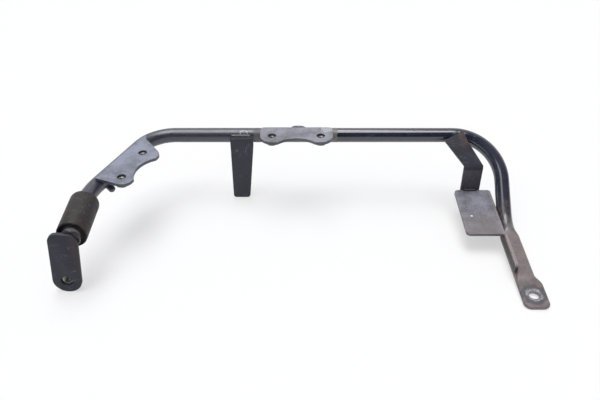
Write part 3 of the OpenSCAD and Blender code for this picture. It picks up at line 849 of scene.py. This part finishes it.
@dataclass
class WeldNut:
    """A weld nut with its chamfered hexagon, pilot and cut thread. Sizes are in millimetres."""

    flats: float = 11.0
    height: float = 5.0
    pilot_d: float = 8.0
    pilot_h: float = 1.2
    thread_d: float = 5.0
    pitch: float = 1.0
    segments: int = 72

    def flat_radius(self, angle: float) -> float:
        """Returns the hexagon's radius at an angle in radians."""
        sector = math.degrees(angle) % 60 - 30
        return self.flats / 2 / math.cos(math.radians(sector))

    def thread_radius(self, angle: float, height: float) -> float:
        """Returns the bore's radius at a place on the thread, which runs out at both ends."""
        phase = (height / self.pitch - angle / (2 * math.pi)) % 1.0
        flank = min(1.0, max(0.0, 1.35 - 2.7 * abs(phase - 0.5)))
        mouth = min(height + self.height, self.pilot_h - height) / (0.5 * self.pitch)
        depth = 0.54 * self.pitch
        return self.thread_d / 2 + depth * (flank if mouth > 1 else mouth * flank + (1 - mouth))

    def rings(self, place: Matrix) -> list[list[Vector]]:
        """Returns the nut's rings, up the bore and down the outside, in metres."""
        rows = round((self.height + self.pilot_h) / self.pitch * 8)
        shapes: list[Callable[[float], tuple[float, float]]] = []
        for k in range(rows + 1):
            level = -self.height + (self.height + self.pilot_h) * k / rows
            shapes.append(lambda angle, level=level: (self.thread_radius(angle, level), level))
        pilot = self.pilot_d / 2
        chamfer = 0.55
        shapes.append(lambda angle: (pilot - 0.2, self.pilot_h))
        shapes.append(lambda angle: (pilot, self.pilot_h - 0.2))
        shapes.append(lambda angle: (pilot, 0.0))
        shapes.append(lambda angle: (self.flat_radius(angle) - 0.1, 0.0))
        shapes.append(lambda angle: (self.flat_radius(angle), -0.1))
        shapes.append(lambda angle: (
            self.flat_radius(angle), -self.height + chamfer * (self.flat_radius(angle) - self.flats / 2) + 0.12))
        shapes.append(lambda angle: (self.flats / 2 - 0.15, -self.height))
        result = []
        for shape in shapes:
            ring = []
            for k in range(self.segments):
                angle = 2 * math.pi * k / self.segments
                radius, level = shape(angle)
                spot = Vector((radius * math.cos(angle), radius * math.sin(angle), level))
                ring.append(place @ spot * MM)
            result.append(ring)
        return result

    def build(self, bench: Bench, node: str, place: Matrix, finish: object, slot: str) -> bpy.types.Object:
        """Builds the nut at its place and dresses it.

        Args:
            bench: the finishing bench.
            node: the CAD node that it stands for.
            place: the frame whose origin is the nut's seat, in millimetres.
            finish: the nut's finish.
            slot: the name of a material slot, handed on to the bench.

        Returns:
            The nut.
        """
        nut = finished_piece(node + "_threaded", loft(self.rings(place), Join.LOOPED), 30.0)
        bench.finish(nut, finish, slot, [node])
        nut.data.materials.append(bench.material(THREAD_STEEL))
        axis = place.to_3x3() @ Vector((0, 0, 1))
        for face in nut.data.polygons:
            away = face.center / MM - place.translation
            out = away - axis * away.dot(axis)
            if out.length < self.thread_d / 2 + 0.6 * self.pitch:
                face.material_index = 1
        return nut


# Weld beads


@dataclass
class WeldBead:
    """A rippled weld bead along a line or round a joint. Sizes are in millimetres."""

    radius: float = 2.2
    ripple: float = 1.5
    points: int = 20
    closed: bool = False
    taper: float = 2.2

    def rings(self, route: Sequence[Vector]) -> list[list[Vector]]:
        """Returns the bead's rings along its route, in metres."""
        route = list(route) + ([route[0]] if self.closed else [])
        lengths = [0.0]
        for near, far in zip(route, route[1:]):
            lengths.append(lengths[-1] + (far - near).length)
        total = lengths[-1]
        count = max(8, round(total / self.ripple * 7))
        ripple = total / max(1, round(total / self.ripple))
        result = []
        for k in range(count if self.closed else count + 1):
            along = total * k / count
            leg = max(i for i, start in enumerate(lengths[:-1]) if start <= along + 1e-6)
            share = (along - lengths[leg]) / (lengths[leg + 1] - lengths[leg])
            centre = route[leg].lerp(route[leg + 1], share)
            heading = (route[leg + 1] - route[leg]).normalized()
            side = heading.cross(Vector((0, 0, 1)) if abs(heading.z) < 0.9 else Vector((1, 0, 0))).normalized()
            up = side.cross(heading)
            end = min(along, total - along)
            taper = 1.0 if self.closed else math.sqrt(max(0.02, 1 - max(0.0, 1 - end / self.taper) ** 2))
            phase = (along / ripple) % 1.0
            wander = noise.noise(centre * 0.45)
            size = self.radius * taper * (0.9 + 0.1 * math.sqrt(phase) + 0.06 * wander)
            ring = []
            for j in range(self.points):
                angle = 2 * math.pi * j / self.points
                lag = heading * (-0.45 * ripple * abs(math.sin(angle)))
                spot = centre + side * (size * math.cos(angle)) + up * (size * math.sin(angle)) + lag * taper
                ring.append(spot * MM)
            result.append(ring)
        return result

    def build(self, bench: Bench, node: str, route: Sequence[Vector], finish: PaintedSteel) -> bpy.types.Object:
        """Builds the bead and dresses it.

        Args:
            bench: the finishing bench.
            node: the CAD node that it stands for.
            route: the middle of the bead, in millimetres.
            finish: the bead's paint.

        Returns:
            The bead.
        """
        join = Join.LOOPED if self.closed else Join.CAPPED
        bead = finished_piece(node + "_rippled", loft(self.rings(route), join), 60.0)
        bench.finish(bead, finish, "weld", [node])
        return bead


# The studio


@dataclass
class Studio:
    """The pale floor, the lamps and the camera."""

    lens: float = 42.0
    sensor: float = 36.0
    eye: tuple[float, float, float] = (3.4, -569.5, 355.0)
    pitch: float = 36.97
    floor_size: float = 9.0

    def camera(self) -> None:
        """Puts the camera where the photograph was taken from."""
        data = bpy.data.cameras.new("studio_camera")
        data.lens = self.lens
        data.sensor_width = self.sensor
        data.clip_end = 50
        eye = bpy.data.objects.new("studio_camera", data)
        eye.location = Vector(self.eye) * MM
        eye.rotation_euler = (math.radians(90 - self.pitch), 0, 0)
        bpy.context.scene.collection.objects.link(eye)
        bpy.context.scene.camera = eye

    def lowest(self, piece: bpy.types.Object, up: Vector, keep: Callable[[Vector], bool]) -> Vector:
        """Returns the point of a piece that lies lowest along a direction, among those kept."""
        return min((v.co for v in piece.data.vertices if keep(v.co)), key=lambda place: place.dot(up))

    def floor(self, tab: bpy.types.Object, link: bpy.types.Object, tube: bpy.types.Object) -> None:
        """Lays the floor under the three points that the bracket stands on.

        Args:
            tab: the hanging tab.
            link: the link plate.
            tube: the tube, which stands on its crushed end.
        """
        up = Vector((0, 0, 1))
        for _ in range(4):
            rear = self.lowest(tab, up, lambda place: True)
            left = self.lowest(link, up, lambda place: True)
            right = self.lowest(tube, up, lambda place: place.y < -0.14)
            up = (right - left).cross(rear - left).normalized()
            up = up if up.z > 0 else -up
        form = bmesh.new()
        bmesh.ops.create_grid(form, x_segments=1, y_segments=1, size=self.floor_size / 2)
        floor = finished_piece("floor", form)
        floor.matrix_world = Matrix.Translation(rear - up * 0.0001) @ up.to_track_quat("Z", "Y").to_matrix().to_4x4()
        material = bpy.data.materials.new("pale_floor")
        material.use_nodes = True
        board = Board(material.node_tree)
        shader = material.node_tree.nodes["Principled BSDF"]
        shader.inputs["Base Color"].default_value = (0.9, 0.9, 0.9, 1)
        shader.inputs["Roughness"].default_value = 0.9
        shader.inputs["Specular IOR Level"].default_value = 0.1
        glow = board.add("ShaderNodeEmission", {"Color": (1, 1, 1, 1), "Strength": 1.0})
        path = board.add("ShaderNodeLightPath")
        seen = board.math("MAXIMUM", path.outputs["Is Camera Ray"], path.outputs["Is Glossy Ray"])
        seen = board.math("MAXIMUM", seen, path.outputs["Is Transmission Ray"])
        share = board.math("MULTIPLY", seen, 0.55)
        mix = board.add("ShaderNodeMixShader", {0: share, 1: shader.outputs[0], 2: glow.outputs[0]})
        board.feed(material.node_tree.nodes["Material Output"].inputs["Surface"], mix.outputs[0])
        floor.data.materials.append(material)

    def sun(self, name: str, strength: float, spread: float, aim: tuple[float, float, float]) -> None:
        """Adds a soft lamp that shines along a direction, like a large screen far away."""
        data = bpy.data.lights.new(name, "SUN")
        data.energy = strength
        data.angle = math.radians(spread)
        lamp = bpy.data.objects.new(name, data)
        lamp.rotation_euler = Vector(aim).to_track_quat("-Z", "Y").to_euler()
        bpy.context.scene.collection.objects.link(lamp)

    def lamps(self) -> None:
        """Lights the bracket from above and behind, with a weak fill from the front."""
        self.sun("screen_above", 1.9, 40.0, (0.03, -0.02, -0.99))
        self.sun("screen_behind", 0.42, 24.0, (0.06, -0.44, -0.89))
        self.sun("window_left", 0.35, 26.0, (0.42, 0.42, -0.8))
        world = bpy.data.worlds.new("studio_air")
        world.use_nodes = True
        board = Board(world.node_tree)
        air = world.node_tree.nodes["Background"]
        air.inputs["Color"].default_value = (0.30, 0.305, 0.335, 1)
        white = board.add("ShaderNodeBackground", {"Color": (1, 1, 1, 1), "Strength": 1.0})
        heading = board.add("ShaderNodeSeparateXYZ", {0: board.add("ShaderNodeTexCoord").outputs["Generated"]})
        mirrored = board.add("ShaderNodeBackground", {"Color": (1, 1, 1, 1)})
        board.feed(mirrored.inputs["Strength"], board.math(
            "ADD", 0.08, board.math("MULTIPLY", board.step(heading.outputs["Y"], 0.0, 0.7), 0.8)))
        path = board.add("ShaderNodeLightPath")
        soft = board.add("ShaderNodeMixShader", {0: path.outputs["Is Glossy Ray"], 1: air.outputs[0],
                                                 2: mirrored.outputs[0]})
        seen = board.math("MAXIMUM", path.outputs["Is Camera Ray"], path.outputs["Is Transmission Ray"])
        mix = board.add("ShaderNodeMixShader", {0: seen, 1: soft.outputs[0], 2: white.outputs[0]})
        board.feed(world.node_tree.nodes["World Output"].inputs["Surface"], mix.outputs[0])
        bpy.context.scene.world = world
        bpy.context.scene.view_settings.view_transform = "Standard"


# The bracket


DULL_LEFT = Mark(Mask.ZONE, (-200, -100, -30), (-35, 40, 10), soft=2, ragged=6,
                 colour=(0.036, 0.039, 0.06), strength=0.9, roughness=0.37, broken=0.3)
BURNT_LEFT = Mark(Mask.ZONE, (-41.8, 0, -30), (-35, 40, 10), soft=0.5, ragged=2.5,
                  colour=(0.085, 0.082, 0.095), strength=0.85, roughness=0.6, broken=0.3, grain=500)
BURNT_RIGHT = Mark(Mask.ZONE, (33, 0, -30), (39.6, 40, 10), soft=0.5, ragged=3,
                   colour=(0.17, 0.15, 0.125), strength=0.85, roughness=0.65, broken=0.4, grain=500)
# Painted glints: pale spots on the tube at the lower end of the gusset's weld.
WELD_GLINT_SPOTS = (
    Mark(Mask.SPOT, (-169.5, -56.5, 0), reach=(0, 2.2), soft=0.5, ragged=2, colour=(0.5, 0.5, 0.55), strength=0.9),
    Mark(Mask.SPOT, (-172.5, -61.5, 0), reach=(0, 1.6), soft=0.4, ragged=2, colour=(0.42, 0.42, 0.47), strength=0.9),
)
BAR_GLINT = Mark(Mask.ZONE, (-55, 11.8, -1.6), (-44, 14.2, 0.6), soft=0.6, ragged=2.5,
                 colour=(0.4, 0.4, 0.44), strength=0.14, roughness=0.4, broken=0.9, grain=3200)
TAB_SCRATCH = Mark(Mask.SPOT, (-51, 9, 1.5), reach=(5.2, 5.7), soft=0.3, ragged=1.6,
                   colour=(0.55, 0.55, 0.58), strength=0.9, roughness=0.4, broken=0.8, grain=300)
# Painted glints: pale flecks at the right end of the centre plate.
EAR_GLINTS = Mark(Mask.SPOT, (29.5, 12.5, 3), reach=(0, 7.0), soft=2, ragged=5,
                   colour=(0.6, 0.6, 0.62), strength=0.8, roughness=0.35, broken=0.95, grain=1100)
# A pale line along the top of the shelf's fold.
FOLD_PALE_LINE = Mark(Mask.ZONE, (187.6, -130, -51.6), (193, -16, -46.5), soft=0.5, ragged=1.5,
                 colour=(0.34, 0.285, 0.275), strength=0.7, roughness=0.5, broken=0.3)
# Rougher paint over the right leg; its paler colour is a painted highlight.
DULL_LEG_AND_HIGHLIGHT = Mark(Mask.ZONE, (176, -70, -70), (206, 6, 10), soft=9, ragged=8,
                colour=(0.06, 0.064, 0.09), strength=0.45, roughness=0.22, broken=0.5)
FLANGE_SHADE = Mark(Mask.ZONE, (184, -160, -84), (196, 20, -53), soft=1, ragged=2,
                    colour=(0.026, 0.021, 0.02), strength=0.92, roughness=0.6, broken=0.25, grain=240)
LEG_DUST = Mark(Mask.ZONE, (170, -70, -70), (215, -40, -30), soft=8, ragged=20,
                colour=(0.12, 0.095, 0.09), strength=0.55, roughness=0.5, broken=0.85, grain=260)
CRUSHED_DUST = Mark(Mask.ZONE, (180, -200, -80), (240, -66, -30), soft=9, ragged=16,
                    colour=(0.19, 0.143, 0.135), strength=0.92, roughness=0.55, broken=0.45, grain=210)
CRUSHED_DARK = Mark(Mask.ZONE, (180, -139, -80), (240, -131, -30), soft=3, ragged=9,
                    colour=(0.05, 0.042, 0.042), strength=0.5, roughness=0.6, broken=0.6, grain=190)
WASHER_PRINT = Mark(Mask.SPOT, (200.1, -147.7, -62), reach=(0, 12.6), soft=1.8, ragged=9,
                    colour=(0.035, 0.036, 0.05), strength=0.95, roughness=0.35, broken=0.35, grain=420)
WASHER_RIM = Mark(Mask.SPOT, (200.1, -147.7, -62), reach=(4.4, 7.8), soft=1.0, ragged=5,
                  colour=(0.46, 0.45, 0.48), strength=0.75, roughness=0.35, broken=0.95, grain=460)
SHELF_DUST = Mark(Mask.ZONE, (140, -140, -70), (196, -52, -30), soft=16, ragged=18,
                  colour=(0.19, 0.165, 0.165), strength=0.7, roughness=0.6, broken=0.4, grain=170)
SHELF_CHIP = Mark(Mask.SPOT, (164.0, -55.5, -50.5), reach=(0, 1.3), soft=0.4, ragged=1.5,
                  colour=(0.75, 0.74, 0.74), strength=1.0, roughness=0.5)
# A paler tone over the strap's lower, front-facing part.
STRAP_LOWER_PALE = Mark(Mask.ZONE, (150, -60, -60), (200, 0, -27), soft=1.5, ragged=3,
                  colour=(0.095, 0.088, 0.105), strength=0.9, roughness=0.55, broken=0.35, grain=260)
STRAP_RUST = Mark(Mask.ZONE, (156, 0, -9), (167, 30, 10), soft=3, ragged=9,
                  colour=(0.11, 0.08, 0.07), strength=0.7, roughness=0.6, broken=0.9, grain=260)
LINK_RUST = Mark(Mask.ZONE, (-180.5, -150, -70), (-170, -130, 0), soft=3.5, ragged=6,
                 colour=(0.05, 0.036, 0.034), strength=0.8, roughness=0.6, broken=0.3)

TUBE_PAINT = PaintedSteel("tube_paint", colour=(0.004, 0.006, 0.019), roughness=0.08, dust=0.06, scratches=0.3, coat=0.45, ior=1.72,
                          peel=0.07, marks=(
    DULL_LEFT, BURNT_LEFT, BURNT_RIGHT, BAR_GLINT, TAB_SCRATCH, *WELD_GLINT_SPOTS, DULL_LEG_AND_HIGHLIGHT, LEG_DUST, CRUSHED_DUST, CRUSHED_DARK,
    WASHER_PRINT, WASHER_RIM))
PLATE_PAINT = PaintedSteel("plate_paint", colour=(0.05, 0.051, 0.06), roughness=0.42, dust=1.0, wear=0.6,
                           coat=0.15, dust_colour=(0.30, 0.302, 0.345), marks=(EAR_GLINTS,))
GUSSET_PAINT = PaintedSteel("gusset_paint", colour=(0.055, 0.06, 0.076), roughness=0.42, dust=1.05, wear=0.6,
                            coat=0.15, dust_colour=(0.285, 0.305, 0.38))
SHELF_PAINT = PaintedSteel("shelf_paint", colour=(0.028, 0.025, 0.026), roughness=0.42, dust=0.9, wear=0.8,
                           coat=0.1, dust_colour=(0.26, 0.262, 0.31), marks=(SHELF_DUST, SHELF_CHIP, FLANGE_SHADE, FOLD_PALE_LINE))
TAB_PAINT = PaintedSteel("tab_paint", colour=(0.006, 0.007, 0.018), roughness=0.3, dust=0.1, wear=0.2, coat=0.0,
                         scratches=0.7, stretch=(420.0, 420.0, 60.0), marks=(TAB_SCRATCH,))
STRAP_PAINT = PaintedSteel("strap_paint", colour=(0.026, 0.025, 0.034), roughness=0.55, dust=0.02, wear=0.4,
                           rust=0.3, coat=0.0, ior=1.3,
                           marks=(STRAP_RUST, STRAP_LOWER_PALE))
LINK_PAINT = PaintedSteel("link_paint", colour=(0.012, 0.012, 0.024), roughness=0.45, dust=0.15, rust=0.2, wear=0.3,
                          coat=0.0, ior=1.4, marks=(LINK_RUST,))
SLEEVE_PAINT = PaintedSteel("sleeve_paint", colour=(0.017, 0.013, 0.014), roughness=0.5, rust=0.5, coat=0.0,
                            dust=0.06, dust_colour=(0.15, 0.13, 0.135), ior=1.4)
NUT_PAINT = PaintedSteel("nut_paint", colour=(0.02, 0.02, 0.025), roughness=0.45, dust=0.15)
BEAD_PAINT = PaintedSteel("bead_paint", colour=(0.012, 0.013, 0.02), roughness=0.3, dust=0.06, wear=0.0)
PIN_STEEL = PaintedSteel("pin_steel", colour=(0.085, 0.07, 0.07), roughness=0.45, dust=0.4, wear=0.5, rust=0.35, coat=0.0)
LINK_STEEL = DullSteel("link_nut_steel", colour=(0.12, 0.12, 0.125))
THREAD_STEEL = DullSteel("thread_steel", colour=(0.5, 0.49, 0.5), roughness=0.3, rust=0.1)
RUBBER = DarkRubber()


@dataclass
class Bracket:
    """The whole bracket, built around the CAD frame."""

    bench: Bench
    tube: BentTube

    def bush_frame(self) -> Matrix:
        """Returns the frame on the sleeve's rear end, with Z towards the viewer."""
        low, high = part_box("bush_sleeve")
        middle = Vector(((low[0] + high[0]) / 2, high[1], (low[2] + high[2]) / 2)) / MM
        return Matrix.Translation(middle) @ Matrix.Rotation(math.pi / 2, 4, "X")

    def bush(self) -> None:
        """Builds the sleeve, the rubber and the pin."""
        place = self.bush_frame()
        outer, wall, length, shoulder, floor = 12.5, 1.5, 46.0, 4.5, 8.5
        bore = 7.05
        sleeve = [(bore, 0.3), (bore + 0.3, 0.0), (outer - shoulder, 0.0)]
        sleeve += arc((outer - shoulder, shoulder), shoulder, -90, 0, 10)[1:]
        sleeve += arc((outer - 0.4, length - 0.4), 0.4, 0, 90, 3)
        sleeve += arc((outer - wall + 0.4, length - 0.4), 0.4, 90, 180, 3)
        sleeve += [(outer - wall, floor), (bore, floor)]
        piece = finished_piece("bush_sleeve_turned", turned(sleeve, place), 35.0)
        self.bench.finish(piece, SLEEVE_PAINT, "rusty_paint", ["bush_sleeve"])
        pin, recess, stand = 7.25, 1.0, 5.0
        face = length - recess
        lip = 0.9
        rubber = [(pin, floor), (outer - wall, floor), (outer - wall, face)]
        rubber += [(outer - wall - 1.9, face - 0.5), (pin + 1.0, face - 0.5), (pin + 0.3, face + lip), (pin, face + lip)]
        piece = finished_piece("bush_rubber_moulded", turned(rubber, place), 50.0)
        self.bench.finish(piece, RUBBER, "rubber", ["bush_rubber"])
        end = length + stand
        hole = 4.2
        tube = [(hole, floor + 2), (pin, floor + 2), (pin, end - 0.6), (pin - 0.6, end), (hole + 0.5, end), (hole, end - 0.5)]
        piece = finished_piece("bush_pin_turned", turned(tube, place), 35.0)
        self.bench.finish(piece, PIN_STEEL, "steel", ["bush_pin"])

    def plates(self) -> dict[str, bpy.types.Object]:
        """Builds the sheet parts.

        Returns:
            The pieces by the name of their CAD node.
        """
        press = PlateWork()
        parts = {
            "centre_plate": (PLATE_PAINT, "plate_paint"),
            "gusset_plate": (GUSSET_PAINT, "plate_paint"),
            "shelf_plate": (SHELF_PAINT, "plate_paint"),
            "hanging_tab": (TAB_PAINT, "tube_paint"),
            "strap": (STRAP_PAINT, "tube_paint"),
            "link_plate": (LINK_PAINT, "tube_paint"),
            "locating_peg": (TUBE_PAINT, "tube_paint"),
        }
        pieces = {node: press.build(self.bench, node, *look) for node, look in parts.items()}
        self.trim_gusset(pieces["gusset_plate"])
        return pieces

    def trim_gusset(self, plate: bpy.types.Object) -> None:
        """Trims the gusset's rear corner along the crown of the left bend."""
        middle = -self.tube.left_radius
        rings = []
        for height in (-6.0, 18.0):
            ring = []
            for radius, angles in ((self.tube.left_radius - 1.0, range(0, 61, 4)), (60.0, range(60, -1, -4))):
                for angle in angles:
                    turn = math.radians(90 + angle)
                    ring.append(self.leg_point(radius * math.cos(turn), middle + radius * math.sin(turn), height) * MM)
            rings.append(ring)
        cutter = finished_piece("gusset_cutter", loft(rings))
        cut = plate.modifiers.new("corner", "BOOLEAN")
        cut.object = cutter
        cut.operation = "DIFFERENCE"
        cut.solver = "EXACT"
        with_modifiers(plate)
        bpy.data.objects.remove(cutter)

    def nuts(self) -> None:
        """Builds the five weld nuts at the places of their CAD nodes."""
        small = WeldNut()
        for node in ("centre_nut_1", "centre_nut_2", "gusset_nut_1", "gusset_nut_2"):
            low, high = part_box(node)
            seat = Vector(((low[0] + high[0]) / 2, (low[1] + high[1]) / 2, low[2])) / MM + Vector((0, 0, small.height))
            turn = math.radians(-self.tube.left_angle) if node.startswith("gusset") else 0.0
            place = Matrix.Translation(seat) @ Matrix.Rotation(turn, 4, "Z")
            small.build(self.bench, node, place, NUT_PAINT, "tube_paint")
        large = WeldNut(14.0, 6.5, 10.4, 1.2, 6.8, 1.25)
        low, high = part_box("link_nut")
        seat = Vector(((low[0] + high[0]) / 2, high[1], (low[2] + high[2]) / 2)) / MM - Vector((0, large.height, 0))
        swing = Matrix.Rotation(math.radians(-6), 4, "Z")
        place = Matrix.Translation(seat) @ Matrix.Rotation(math.pi / 2, 4, "X") @ swing
        large.build(self.bench, "link_nut", place, LINK_STEEL, "steel")

    def leg_point(self, along: float, side: float, up: float) -> Vector:
        """Returns a point beside the left leg, in millimetres."""
        walk = CentreLine(self.tube.start() @ Matrix.Scale(-1, 4, (1, 0, 0)), 0.0, [])
        walk.forward(self.tube.bar_left)
        walk.bend(self.tube.left_radius, self.tube.left_angle)
        return walk.place @ Vector((along, side, up))

    @staticmethod
    def circle(centre: Vector, radius: float) -> list[Vector]:
        """Returns points on a circle that faces the viewer, in millimetres."""
        steps = 48
        points = []
        for k in range(steps):
            angle = 2 * math.pi * k / steps
            points.append(centre + Vector((radius * math.cos(angle), 0, radius * math.sin(angle))))
        return points

    def middle(self, node: str) -> Vector:
        """Returns the middle of a CAD node's box, in millimetres."""
        low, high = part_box(node)
        return (Vector(low) + Vector(high)) / (2 * MM)

    def strap_ear(self, along: float, out: float) -> Vector:
        """Returns a point on the strap's slanted upper edge, in millimetres."""
        low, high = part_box("weld_strap_bar")
        low, high = Vector(low) / MM, Vector(high) / MM
        tip = Vector((high.x - 2.0, high.y - 2.4, high.z - 2.4))
        foot = Vector((low.x + 1.2, low.y + 2.4, low.z + 2.0))
        return tip.lerp(foot, along) + Vector((0, 0, out))

    def welds(self) -> None:
        """Builds the weld beads along their joints."""
        y, z = self.tube.bar_y, self.tube.bar_z
        level = self.tube.level_frame()
        runs = {
            "weld_centre": (WeldBead(2.5, 2.0, taper=6), [Vector((-5, y + 0.2, 1.3)), Vector((9.5, y + 0.2, 1.3))]),
            "weld_gusset": (WeldBead(2.0), [self.leg_point(17, -0.6, 6.9), self.leg_point(66, -0.6, 6.9)]),
            "weld_tab": (WeldBead(2.6, 3.0), [Vector((-63.6, y - 7.4, z + 2.8)), Vector((-42.8, y - 7.4, z + 2.8))]),
            "weld_strap_bar": (WeldBead(2.2, 2.4), [self.strap_ear(0.0, 0.0), self.strap_ear(1.0, 0.0)]),
            "weld_strap_shelf": (WeldBead(1.7), [self.middle("weld_strap_shelf") + Vector((-6.6, 0.6, -0.7)),
                                                 self.middle("weld_strap_shelf") + Vector((6.6, 0.6, -0.7))]),
            "weld_flange": (WeldBead(1.9), [level @ Vector((17, -7, 2.9)), level @ Vector((45, -7, 2.9))]),
            "weld_sleeve": (WeldBead(1.9, closed=True),
                            self.circle(Vector((*self.bush_frame().translation.xy, z)), self.tube.radius + 0.4)),
            "weld_link": (WeldBead(1.2, closed=True), self.circle(
                Vector((self.bush_frame().translation.x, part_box("weld_link")[0][1] / MM + 0.4, z)), 7.3)),
        }
        for node, (bead, route) in runs.items():
            bead.build(self.bench, node, route, BEAD_PAINT)

    def build(self) -> dict[str, bpy.types.Object]:
        """Builds every sub-assembly.

        Returns:
            The pieces that the bracket stands on.
        """
        tube = self.tube.build(self.bench, TUBE_PAINT)
        self.bush()
        self.nuts()
        plates = self.plates()
        self.welds()
        return plates | {"tube": tube}


def main() -> None:
    """Builds the bracket and the studio round it."""
    logging.basicConfig(level=logging.INFO, format="%(name)s: %(message)s")
    bracket = Bracket(Bench(GroupShelf({}), {}), BentTube())
    pieces = bracket.build()
    studio = Studio()
    studio.camera()
    studio.floor(pieces["hanging_tab"], pieces["link_plate"], pieces["tube"])
    studio.lamps()


if __name__ == "__main__":
    main()
